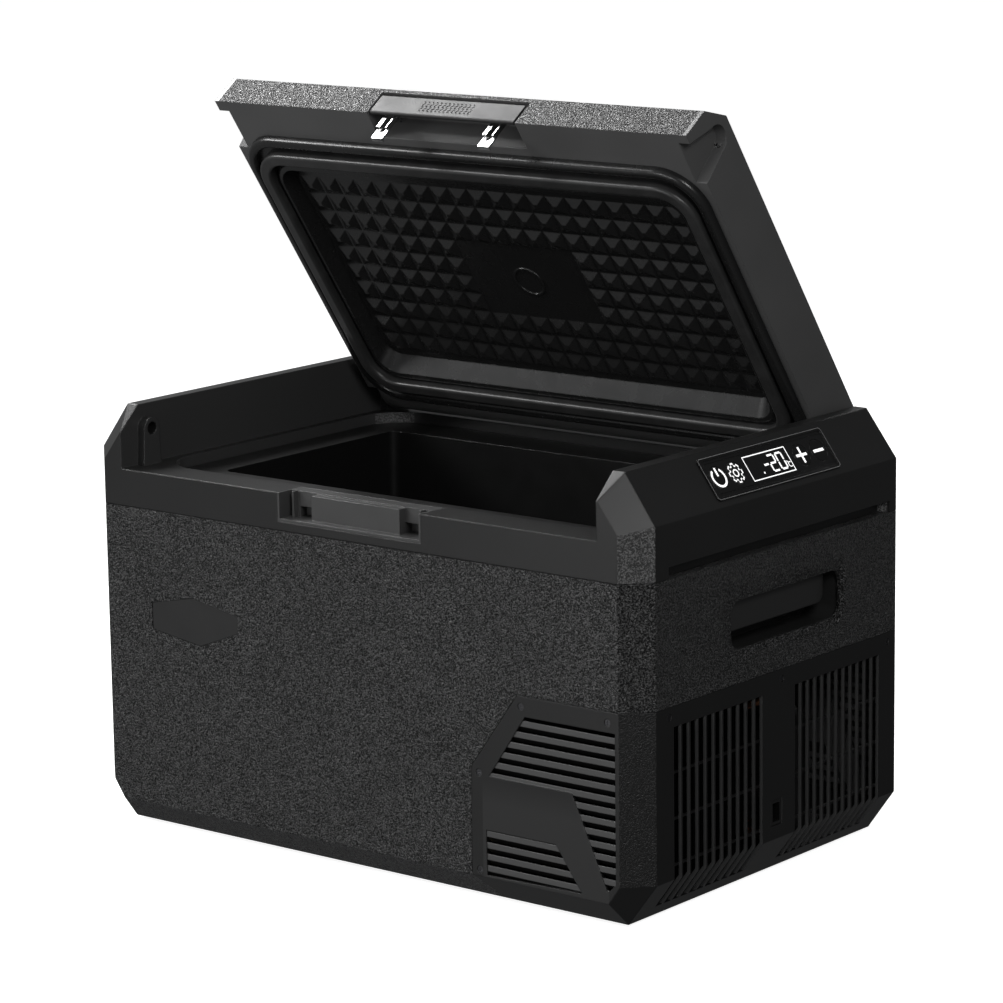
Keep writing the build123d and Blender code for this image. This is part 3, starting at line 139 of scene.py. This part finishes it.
def grain_height(t):
    """Leather-like grain, from 0 in the valleys to about 1 on the pebbles."""
    pebble = t.ramp(t.cells(GRAIN), 0.05, 0.62, 1.0, 0.0)
    wrinkle = t.ramp(t.noise(WRINKLE, 0.0, 0.5, 0.7), 0.34, 0.66)
    return t.math("ADD", t.math("MULTIPLY", pebble, 0.45), t.math("MULTIPLY", wrinkle, 0.55))


def grained(
    name, level, rough, depth=GRAIN_DEPTH, mask=None, smooth_level=None, smooth_rough=None, edge=0.0012,
    contrast=1.0, painted_light_levels=(),
):
    """Black moulded plastic with a leather grain where mask says so, and a fine satin skin elsewhere; on
    the grain, painted highlight on the pebbles and painted shade in the valleys, scaled by contrast.

    The last argument holds pairs of a mask and the smooth skin's level there: painted light, paler levels
    on faces that should look lit.
    """
    t = Tree(name)
    area = mask(t) if mask else 1.0
    skin = t.noise(0.0006, 2.0)
    base_normal = t.bump(skin, 0.00002, t.rounded(edge))
    height = grain_height(t)
    if mask:
        height = t.math("MULTIPLY", height, area)
    normal = t.bump(height, depth, base_normal)
    # painted shade and highlight: the grain's valleys are painted darker and its pebbles lighter
    grain_painted_shade = t.ramp(height, 0.26, 0.66, 1.0 - contrast, 1.0 + 1.3 * contrast)
    cloud = t.ramp(t.noise(0.09, 2.0), 0.3, 0.7, 0.92, 1.08)
    shade = t.math("MULTIPLY", t.math("MULTIPLY", grain_painted_shade, cloud), level)
    plain = t.math("MULTIPLY", cloud, smooth_level if smooth_level is not None else level)
    # painted light: the smooth skin is painted paler where each mask says
    for part_mask, part_level in painted_light_levels:
        plain = t.add("Mix", {0: part_mask(t), 2: plain, 3: part_level})
    rough_map = rough
    if mask:
        value = t.add("Mix", {0: area, 2: plain, 3: shade})
        rough_map = t.add("Mix", {0: area, 2: smooth_rough, 3: rough})
    else:
        value = shade
    color = t.nodes.new("ShaderNodeCombineColor")
    for channel in range(3):
        t.plug(color.inputs[channel], value)
    return t.finish(color.outputs[0], rough_map, normal, Specular_IOR_Level=0.4)


SKIN_SIZE, CLOUD = 0.0005, 0.06


def satin(name, level, rough, edge=0.0008, skin=0.00002):
    """Plain moulded plastic: fine skin, faint clouding, softly rounded edges."""
    t = Tree(name)
    normal = t.bump(t.noise(SKIN_SIZE, 2.0), skin, t.rounded(edge))
    clouds = t.ramp(t.noise(0.05, 3.0), 0.3, 0.7)
    color = t.mix(clouds, grey(level * (1 - CLOUD)), grey(level * (1 + CLOUD)))
    rough_map = t.ramp(t.noise(0.02, 3.0), 0.3, 0.7, rough * 0.93, rough * 1.07)
    return t.finish(color, rough_map, normal)


def corner_mask(t):
    """1 on upright faces that look both sideways and to the front or back."""
    x, y, z = t.split(t.own_normal())
    sideways = t.math("GREATER_THAN", t.math("ABSOLUTE", x), 0.3)
    ahead = t.math("GREATER_THAN", t.math("ABSOLUTE", y), 0.3)
    upright = t.math("LESS_THAN", t.math("ABSOLUTE", z), 0.2)
    return t.math("MULTIPLY", t.math("MULTIPLY", sideways, ahead), upright)


def inward_painted_light_mask(t):
    """1 on the side wings' faces that look in towards the tub, where painted light makes the smooth skin
    paler.
    """
    across = t.math("MULTIPLY", t.split(t.own_normal())[0], t.split(t.points)[0])
    return t.math("LESS_THAN", across, -0.2)


def slat_painted_light_mask(t):
    """1 on the louvre faces, which look along y and stand a little behind the cover's border; painted light
    makes them paler.
    """
    _, y, _ = t.split(t.own_normal())
    along = t.math("GREATER_THAN", t.math("ABSOLUTE", y), 0.9)
    back = t.math("LESS_THAN", t.math("ABSOLUTE", t.split(t.points)[1]), SLAT_FRONT)
    return t.math("MULTIPLY", along, back)


def plate_painted_light_mask(t):
    """1 on the smooth plates between the louvres, where painted light makes the skin paler, fading out
    towards their top as a painted shadow.
    """
    _, y, _ = t.split(t.own_normal())
    along = t.math("GREATER_THAN", t.math("ABSOLUTE", y), 0.9)
    place = t.split(t.points)
    x = t.math("ABSOLUTE", place[0])
    across = t.math("MULTIPLY", t.math("GREATER_THAN", x, PLATE_X[0]), t.math("LESS_THAN", x, PLATE_X[1]))
    # painted shadow: the plates' paler skin fades out towards their top
    painted_top_shadow = t.ramp(place[2], PLATE_Z[1], PLATE_Z[1] - PLATE_SHADOW_FADE)
    up = t.math("MULTIPLY", painted_top_shadow, t.math("GREATER_THAN", place[2], PLATE_Z[0]))
    return t.math("MULTIPLY", along, t.math("MULTIPLY", across, up))


def lid_mask(t):
    """1 on the lid's top and front, short of its side edges."""
    x, y, z = t.split(t.own_normal())
    place = t.split(t.points)
    flat = t.math("LESS_THAN", t.math("ABSOLUTE", x), 0.5)
    inside = t.math("LESS_THAN", t.math("ABSOLUTE", place[0]), LID_EDGE_X)
    sine, cosine = math.sin(OPEN), math.cos(OPEN)
    under = t.math("ADD", t.math("MULTIPLY", y, -sine), t.math("MULTIPLY", z, -cosine))
    outer = t.math("LESS_THAN", under, 0.5)
    # faces that look forwards but stand behind the lid's front are the latch recess
    ahead = t.math("ADD", t.math("MULTIPLY", y, -cosine), t.math("MULTIPLY", z, sine))
    facing = t.math("GREATER_THAN", ahead, 0.95)
    reach_y = t.math("MULTIPLY", t.math("SUBTRACT", place[1], HINGE.y), -cosine)
    reach_z = t.math("MULTIPLY", t.math("SUBTRACT", place[2], HINGE.z), sine)
    reach = t.math("ADD", reach_y, reach_z)
    behind = t.math("LESS_THAN", reach, FRONT_REACH)
    shown = t.math("SUBTRACT", 1.0, t.math("MULTIPLY", facing, behind))
    return t.math("MULTIPLY", shown, t.math("MULTIPLY", t.math("MULTIPLY", flat, inside), outer))


def metal(name, color, rough):
    """Bare or plated metal with a drawn or rolled grain."""
    t = Tree(name)
    normal = t.bump(t.noise(0.0008, 3.0), 0.00001, t.rounded(0.0003))
    stain = t.ramp(t.noise(0.012, 3.0), 0.3, 0.7, 0.0, 1.0)
    darker = tuple(c * 0.86 for c in color[:3]) + (1.0,)
    rough_map = t.ramp(t.noise(0.006, 3.0), 0.3, 0.7, rough * 0.85, rough * 1.15)
    return t.finish(t.mix(stain, darker, color), rough_map, normal, 1.0)


def rubber(name, level, rough=0.7):
    t = Tree(name)
    normal = t.bump(t.noise(0.0004, 3.0), 0.00003, t.rounded(0.0006))
    dust = t.ramp(t.noise(0.02, 4.0), 0.4, 0.75, 0.0, 1.0)
    return t.finish(t.mix(dust, grey(level), grey(level * 1.5)), rough, normal)


def foam_stuff(name):
    t = Tree(name)
    normal = t.bump(t.cells(0.0012), 0.0004)
    tone = t.ramp(t.noise(0.01, 4.0), 0.3, 0.7)
    return t.finish(t.mix(tone, (0.55, 0.45, 0.22, 1), (0.72, 0.62, 0.36, 1)), 0.9, normal)


def board(name):
    t = Tree(name)
    tracks = t.math("GREATER_THAN", t.noise(0.002, 0.0), 0.56)
    color = t.mix(tracks, (0.01, 0.09, 0.035, 1), (0.02, 0.17, 0.06, 1))
    return t.finish(color, 0.4, t.bump(tracks, 0.00005))


def glow(name, level):
    """Backlit white print."""
    t = Tree(name)
    wave = t.ramp(t.noise(0.004, 1.0), 0.3, 0.7, level * 0.94, level * 1.06)
    extra = {"Emission_Color": grey(0.95), "Emission_Strength": level}
    return t.finish(t.mix(wave, grey(0.75), grey(0.85)), 0.5, None, **extra)


BODY_BLACK = grained("body leather grain", 0.038, 0.34)
# painted light: the lid is a paler copy of the body's black plastic, for the light it catches when open
LID_BLACK = grained("lid leather grain", 0.085, 0.34, mask=lid_mask, smooth_level=0.085, smooth_rough=0.34)
FRAME_BLACK = grained(
    "frame grain", 0.075, 0.34, 0.0005, corner_mask, 0.013, 0.33, 0.0018, contrast=0.6,
    # painted light: the wings' inward faces, which lie in shade, get a paler smooth skin
    painted_light_levels=((inward_painted_light_mask, 0.04),),
)
VENT_BLACK = grained(
    "vent cover grain", 0.012, 0.4, 0.0004, corner_mask, 0.008, 0.4, contrast=0.3,
    # painted light: paler plates between the louvres and paler louvre faces
    painted_light_levels=((plate_painted_light_mask, 0.018), (slat_painted_light_mask, 0.062)),
)


LOOKS = {
    "body_shell": BODY_BLACK,
    "lid_shell": LID_BLACK,
    "upper_frame": FRAME_BLACK,
    "vent_cover": VENT_BLACK,
    "badge_plate": satin("badge satin", 0.012, 0.4),
    # painted light: the handle cup is paler so its inner faces, in shade, still read lit
    "handle_cup_right": satin("cup satin", 0.022, 0.32, edge=0.0016),
    "inner_tub": satin("tub satin", 0.006, 0.35),
    "lid_liner": satin("lid liner gloss", 0.011, 0.27, edge=0.0013),
    "lid_gasket": rubber("seal rubber", 0.022, 0.36),
    # painted highlight: the keeper is paler than the other black plastics, for the light on its front bar
    "latch_keeper": satin("keeper satin", 0.05, 0.3),
    "latch_paddle": satin("latch satin", 0.012, 0.58),
    "latch_hooks": metal("plated hook", (0.62, 0.62, 0.62, 1), 0.2),
    "hinge_pins": metal("ground pin", (0.55, 0.55, 0.56, 1), 0.25),
    "hinge_bushes": satin("bush nylon", 0.02, 0.4),
    "latch_springs": metal("spring wire", (0.4, 0.4, 0.42, 1), 0.3),
    "cover_screws": metal("blackened screw", (0.1, 0.1, 0.105, 1), 0.35),
    "dc_socket": satin("socket satin", 0.006, 0.35),
    "socket_pins": metal("contact brass", (0.85, 0.62, 0.25, 1), 0.2),
    "control_bezel": satin("bezel gloss", 0.003, 0.2, edge=0.0004),
    "display_lens": satin("panel acrylic", 0.004, 0.16, skin=0.000002),
    "button": satin("button acrylic", 0.0015, 0.3, skin=0.000002),
    "display_board": board("circuit board"),
    "compressor": satin("compressor enamel", 0.006, 0.35),
    "foot": rubber("foot rubber", 0.012),
    "condenser": metal("black-coated fins", (0.012, 0.012, 0.013, 1), 0.5),
    "aluminium": metal("mill aluminium", (0.55, 0.56, 0.57, 1), 0.35),
    "black_steel": satin("black painted sheet", 0.004, 0.5),
    "fan": satin("fan nylon", 0.006, 0.45),
    "copper": metal("drawn copper", (0.72, 0.33, 0.18, 1), 0.28),
    "foam": foam_stuff("foam"),
    "loom": satin("loom sleeve", 0.02, 0.5),
}
SHARED = {
    "handle_cup_left": "handle_cup_right",
    "latch_pins": "hinge_pins",
    "temperature_probe": "hinge_pins",
    "power_button": "button",
    "settings_button": "button",
    "plus_button": "button",
    "minus_button": "button",
    "bay_partition": "black_steel",
    "bay_floor_pan": "black_steel",
    "compressor_grommets": "foot",
    "feet": "foot",
    "compressor_bolts": "cover_screws",
    "fan_frame": "fan",
    "fan_rotor": "fan",
    "filter_drier": "copper",
    "discharge_tube": "copper",
    "liquid_tube": "copper",
    "suction_tube": "copper",
    "evaporator_coil": "copper",
    "evaporator_plate": "aluminium",
    "controller": "condenser",
    "cabinet_foam": "foam",
    "rim_foam": "foam",
    "lid_foam": "foam",
    "wiring_loom": "loom",
}
for node_name, node in NODES.items():
    look = LOOKS[SHARED.get(node_name, node_name)]
    node.data.materials.clear()
    node.data.materials.append(look)


# ---- control panel print ---------------------------------------------------------------------------------
def panel_matrix():
    """The panel's own axes: x to the back, y up the slope, z outwards."""
    across = Vector((0, 1, 0))
    up = (WING_TOP - WING_SIDE).normalized()
    out = across.cross(up).normalized()
    if out.x < 0:
        out = -out
    middle = (WING_TOP + WING_SIDE) / 2 + Vector((0, PANEL_Y, 0)) + out * LENS_TOP
    rows = [(across[i], up[i], out[i], middle[i]) for i in range(3)]
    return Matrix(rows + [(0, 0, 0, 1)])


PANEL = panel_matrix()
PRINT_THICK = 0.00008
EDGE_LIFT = 0.0008


def outline_mesh(name, loops, material, body, lift=0.0):
    """Thin flat print on the panel, from closed outlines in panel millimetres. Later loops may be holes."""
    curve = bpy.data.curves.new(name, "CURVE")
    curve.dimensions = "2D"
    curve.fill_mode = "BOTH"
    curve.extrude = PRINT_THICK / 2
    for points in loops:
        spline = curve.splines.new("POLY")
        spline.points.add(len(points) - 1)
        for target, (x, y) in zip(spline.points, points):
            target.co = (x / 1000, y / 1000, PRINT_THICK, 1)
        spline.use_cyclic_u = True
    drawn = bpy.data.objects.new(name, curve)
    bpy.context.collection.objects.link(drawn)
    bpy.context.view_layer.update()
    mesh = bpy.data.meshes.new_from_object(drawn.evaluated_get(bpy.context.evaluated_depsgraph_get()))
    bpy.data.objects.remove(drawn)
    mesh.transform(PANEL @ Matrix.Translation((0, 0, lift)))
    mesh.materials.clear()
    mesh.materials.append(material)
    made = bpy.data.objects.new(name, mesh)
    bpy.context.collection.objects.link(made)
    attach(made, body)
    return made


def arc(cx, cy, radius, start, end, steps=40):
    return [
        (cx + radius * math.cos(math.radians(start + (end - start) * i / steps)),
         cy + radius * math.sin(math.radians(start + (end - start) * i / steps)))
        for i in range(steps + 1)
    ]


def bar(x0, y0, x1, y1, width):
    """A straight stroke from one point to another."""
    along = Vector((x1 - x0, y1 - y0)).normalized()
    side = Vector((-along.y, along.x)) * width / 2
    start, end = Vector((x0, y0)), Vector((x1, y1))
    return [(point.x, point.y) for point in (start + side, start - side, end - side, end + side)]


WHITE = glow("panel print", 0.9)
POWER_X, GEAR_X, DISPLAY_X, PLUS_X, MINUS_X = -71.3, -47.7, -1.0, 45.9, 70.8
ring_points = arc(POWER_X, 0, 9.0, 125, 415) + arc(POWER_X, 0, 7.0, 415, 125)
outline_mesh(
    "power_sign", [ring_points, bar(POWER_X, 1.2, POWER_X, 9.0, 2.1)], WHITE, "power_button",
)


def gear_points(cx, outer, inner, teeth=8):
    points = []
    for tooth in range(teeth):
        centre = 360 / teeth * tooth + 90
        for offset, radius in ((-15.5, inner), (-10.5, outer), (10.5, outer), (15.5, inner)):
            a = math.radians(centre + offset)
            points.append((cx + radius * math.cos(a), radius * math.sin(a)))
    return points


outline_mesh(
    "gear_sign",
    [gear_points(GEAR_X, 9.3, 7.1), gear_points(GEAR_X, 8.0, 5.8)],
    WHITE, "settings_button",
)
outline_mesh(
    "gear_hub", [arc(GEAR_X, 0, 3.6, 0, 360), arc(GEAR_X, 0, 2.4, 0, 360)], WHITE, "settings_button",
)
outline_mesh(
    "plus_sign",
    [[(PLUS_X + x, y) for x, y in (
        (-1.2, 7.4), (1.2, 7.4), (1.2, 1.2), (7.4, 1.2), (7.4, -1.2), (1.2, -1.2),
        (1.2, -7.4), (-1.2, -7.4), (-1.2, -1.2), (-7.4, -1.2), (-7.4, 1.2), (-1.2, 1.2))]],
    WHITE, "plus_button",
)
outline_mesh(
    "minus_sign", [bar(MINUS_X - 7.2, 0, MINUS_X + 7.2, 0, 2.6)], WHITE, "minus_button",
)

HALF_W, HALF_H, LINE = 30.0, 11.5, 0.9


def display_box(inset):
    """The display's outline, drawn in by inset."""
    w, h = HALF_W - inset, HALF_H - inset
    return [(DISPLAY_X - w, -h), (DISPLAY_X + w, -h), (DISPLAY_X + w, h), (DISPLAY_X - w, h)]


outline_mesh("display_border", [display_box(0), display_box(LINE)], WHITE, "cabinet")
# painted highlight: a pale thin line along the panel's raised rim stands in for the light on its edge
PANEL_EDGE_HIGHLIGHT = satin("painted panel edge highlight", 0.24, 0.3, skin=0.000002)


def rounded_outline(half_w, half_h, radius):
    """A rounded rectangle about the panel's middle."""
    points = []
    for cx, cy, start in ((1, 1, 0), (-1, 1, 90), (-1, -1, 180), (1, -1, 270)):
        points += arc(cx * (half_w - radius), cy * (half_h - radius), radius, start, start + 90, 8)
    return points


# the panel rim's painted highlight, drawn a little above the print
outline_mesh(
    "panel_edge_highlight",
    [rounded_outline(87.6, 19.1, 3.6), rounded_outline(87.0, 18.5, 3.0)],
    PANEL_EDGE_HIGHLIGHT, "cabinet", EDGE_LIFT,
)
SEGMENTS = {
    "a": ((0.5, 14.6), (7.5, 14.6)),
    "b": ((8, 14.1), (8, 7.8)),
    "c": ((8, 6.8), (8, 0.5)),
    "d": ((0.5, 0), (7.5, 0)),
    "e": ((0, 6.8), (0, 0.5)),
    "f": ((0, 14.1), (0, 7.8)),
    "g": ((0.5, 7.3), (7.5, 7.3)),
}
DIGITS = {"2": "abged", "0": "abcdef"}
DIGIT_MIDDLE, STROKE = 7.3, 1.7
reading = []
for digit, start in (("2", 1.0), ("0", 12.5)):
    for key in DIGITS[digit]:
        (x0, y0), (x1, y1) = SEGMENTS[key]
        reading.append(bar(start + x0, y0 - DIGIT_MIDDLE, start + x1, y1 - DIGIT_MIDDLE, STROKE))
reading.append(bar(-7.5, 0, -1.5, 0, 1.8))
reading.append(arc(-12.5, -6.4, 0.9, 0, 360, 16))
for stroke_index, stroke in enumerate(reading):
    outline_mesh(f"reading_{stroke_index}", [stroke], WHITE, "cabinet")
outline_mesh(
    "degree_sign", [arc(22.9, -2.2, 0.9, 0, 360, 16), arc(22.9, -2.2, 0.45, 0, 360, 16)], WHITE, "cabinet",
)
outline_mesh(
    "unit_letter",
    [arc(25.6, -5.0, 2.6, 50, 310, 24) + arc(25.6, -5.0, 1.8, 310, 50, 24)],
    WHITE, "cabinet",
)

# ---- stage -----------------------------------------------------------------------------------------------
floor_data = bpy.data.meshes.new("floor")
REACH = 60.0
floor_corners = [(-REACH, -REACH, 0), (REACH, -REACH, 0), (REACH, REACH, 0), (-REACH, REACH, 0)]
floor_data.from_pydata(floor_corners, [], [(0, 1, 2, 3)])
floor = bpy.data.objects.new("floor", floor_data)
bpy.context.collection.objects.link(floor)
floor_tree = Tree("pale floor")
floor_tone = floor_tree.ramp(floor_tree.noise(0.8, 2.0), 0.3, 0.7, 0.0, 1.0)
floor_color = floor_tree.mix(floor_tone, grey(0.5), grey(0.52))
floor_tree.finish(floor_color, 0.9, Emission_Color=grey(1.0), Emission_Strength=0.9)
floor_data.materials.append(floor_tree.material)
floor.visible_glossy = False
floor.visible_diffuse = False


def studio_world():
    """A soft room: bright above to the left, dim below and to the right."""
    world = bpy.data.worlds.new("studio")
    bpy.context.scene.world = world
    world.use_nodes = True
    nodes, links = world.node_tree.nodes, world.node_tree.links
    direction = nodes.new("ShaderNodeTexCoord").outputs["Generated"]
    parts = nodes.new("ShaderNodeSeparateXYZ")
    links.new(direction, parts.inputs[0])

    def ramp(value, low, high, to_low, to_high):
        node = nodes.new("ShaderNodeMapRange")
        node.interpolation_type = "SMOOTHSTEP"
        links.new(value, node.inputs[0])
        for index, number in enumerate((low, high, to_low, to_high)):
            node.inputs[index + 1].default_value = number
        return node.outputs[0]

    strength = ramp(parts.outputs[2], -0.35, 0.6, SKY_LOW, SKY_HIGH)
    sideways = ramp(parts.outputs[0], -0.8, 0.7, 1.0, SKY_RIGHT)
    backwards = ramp(parts.outputs[1], -0.7, 0.6, 1.0, SKY_BACK)
    for factor in (sideways, backwards):
        both = nodes.new("ShaderNodeMath")
        both.operation = "MULTIPLY"
        links.new(strength, both.inputs[0])
        links.new(factor, both.inputs[1])
        strength = both.outputs[0]
    links.new(strength, nodes["Background"].inputs["Strength"])
    nodes["Background"].inputs["Color"].default_value = (0.98, 0.99, 1.0, 1.0)


SKY_LOW, SKY_HIGH, SKY_RIGHT, SKY_BACK = 0.26, 0.36, 0.45, 0.55
studio_world()


def softbox(name, place, target, size, power):
    lamp = bpy.data.lights.new(name, "AREA")
    lamp.shape = "RECTANGLE"
    lamp.size, lamp.size_y = size
    lamp.energy = power
    lamp_object = bpy.data.objects.new(name, lamp)
    lamp_object.location = place
    lamp_object.rotation_euler = (Vector(target) - Vector(place)).to_track_quat("-Z", "Y").to_euler()
    bpy.context.collection.objects.link(lamp_object)
    return lamp_object


softbox("key", (-2.2, -1.6, 1.9), (0, 0, 0.3), (0.7, 0.6), 40)
softbox("top_left", (-1.35, 0.2, 1.9), (0, 0, 0.45), (0.8, 0.8), 52)
softbox("overhead", (0.1, -0.5, 2.4), (0, 0, 0.3), (1.2, 0.8), 12)
softbox("front_low", (-0.5, -2.7, 0.25), (0, 0, 0.45), (1.6, 0.4), 18)
softbox("right", (1.9, -1.3, 1.5), (0, 0, 0.35), (0.5, 0.7), 19)
softbox("rim", (-0.6, 2.5, 1.3), (0, 0, 0.35), (0.5, 1.2), 6)

# ---- camera ----------------------------------------------------------------------------------------------
YAW, PITCH, ROLL = math.radians(38.733), math.radians(11.644), math.radians(-0.775)
SHIFT_X, SHIFT_Y, FAR = -0.004415, -0.104331, 3.493401
AIM_Z = 0.183
FOCAL = 4012.751 / 1003
back = Vector((math.sin(YAW) * math.cos(PITCH), -math.cos(YAW) * math.cos(PITCH), math.sin(PITCH)))
right = Vector((math.cos(YAW), math.sin(YAW), 0))
upward = back.cross(right)
right_rolled = right * math.cos(ROLL) + upward * math.sin(ROLL)
up_rolled = upward * math.cos(ROLL) - right * math.sin(ROLL)
spot = Vector((0, 0, AIM_Z)) - right_rolled * SHIFT_X - up_rolled * SHIFT_Y + back * FAR
camera_data = bpy.data.cameras.new("camera")
camera_data.sensor_width = 36.0
camera_data.lens = FOCAL * camera_data.sensor_width
camera = bpy.data.objects.new("camera", camera_data)
camera.matrix_world = Matrix((
    (right_rolled.x, up_rolled.x, back.x, spot.x),
    (right_rolled.y, up_rolled.y, back.y, spot.y),
    (right_rolled.z, up_rolled.z, back.z, spot.z),
    (0, 0, 0, 1),
))
bpy.context.collection.objects.link(camera)
bpy.context.scene.camera = camera
bpy.context.scene.view_settings.view_transform = "Standard"
